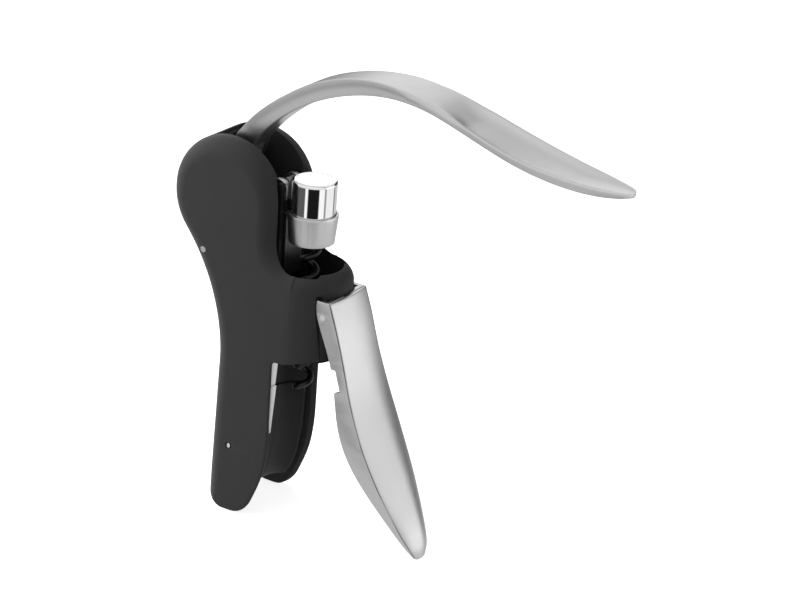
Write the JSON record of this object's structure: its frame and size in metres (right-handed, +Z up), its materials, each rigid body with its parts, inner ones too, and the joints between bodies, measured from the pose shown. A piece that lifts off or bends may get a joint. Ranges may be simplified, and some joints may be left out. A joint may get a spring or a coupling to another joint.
{
  "type": "lever corkscrew",
  "caption": "Hand-held lever corkscrew: a hinged lever drives a geared carriage and its turning worm down into a cork while a sprung front handle grips the neck.",
  "frame": {"origin": "on the worm's axis, at the level of the surface it stands on", "axes": "+Z up the worm, +X towards the front handle, +Y to the right-hand side"},
  "size_m": [0.1992, 0.0368, 0.1999],
  "materials": {
    "soft_black": "soft-touch matte moulding",
    "inner_black": "as moulded",
    "rubber": "matte",
    "satin_metal": "satin",
    "brushed_steel": "brushed",
    "polished_pin": "polished ends",
    "chrome": "mirror",
    "coated_worm": "slick non-stick coating",
    "bronze": "sintered"
  },
  "bodies": {
    "housing": {"housing_left": "soft_black", "housing_right": "soft_black", "neck_cradle": "inner_black", "rear_jaw_plate": "brushed_steel", "lower_pin": "polished_pin", "lever_axle": "polished_pin", "pivot_spacers": "inner_black", "guide_rail_left": "inner_black", "guide_rail_right": "inner_black", "worm_guide": "inner_black", "guide_pins": "polished_pin", "guide_bridge": "inner_black", "lever_bumper": "rubber", "clamp_pins": "polished_pin"},
    "lever": {"lever": "satin_metal", "sector_gear": "brushed_steel", "pivot_bush": "bronze", "lever_rivets": "polished_pin"},
    "carriage": {"carriage": "satin_metal", "rack": "brushed_steel", "rack_pins": "polished_pin", "guide_rollers": "inner_black", "roller_pins": "polished_pin", "worm_bearing": "inner_black"},
    "worm": {"worm": "coated_worm", "retaining_ring": "brushed_steel", "thrust_washer": "brushed_steel", "chrome_cap": "chrome", "cap_core": "inner_black", "cap_screw": "brushed_steel"},
    "front_handle": {"clamp_cover": "satin_metal", "clamp_frame": "satin_metal", "clamp_rivets": "polished_pin", "clamp_pad": "rubber", "clamp_spring": "brushed_steel"}
  },
  "joints": [
    {"name": "lever_hinge", "type": "hinge", "parent": "housing", "child": "lever", "pos_m": [-0.042, 0, 0.1147], "axis": [0, 1, 0], "range_deg": [-4, 62]},
    {"name": "carriage_slide", "type": "slide", "parent": "housing", "child": "carriage", "axis": [0, 0, 1], "range_m": [-0.0304, 0.002]},
    {"name": "worm_spin", "type": "hinge", "parent": "carriage", "child": "worm", "pos_m": [0, 0, 0.13], "axis": [0, 0, 1], "range_deg": [-1150, 75]},
    {"name": "front_handle_hinge", "type": "hinge", "parent": "housing", "child": "front_handle", "pos_m": [0.0158, 0, 0.0985], "axis": [0, 1, 0], "range_deg": [0, 18], "stiffness_Nm_per_rad": 0.1, "springref_deg": -20.05, "deforming": ["clamp_spring"]}
  ],
  "couplings": [
    {"joint": "carriage_slide", "follows": "lever_hinge", "m_per_rad": -0.028},
    {"joint": "worm_spin", "follows": "lever_hinge", "ratio": -18.519}
  ]
}
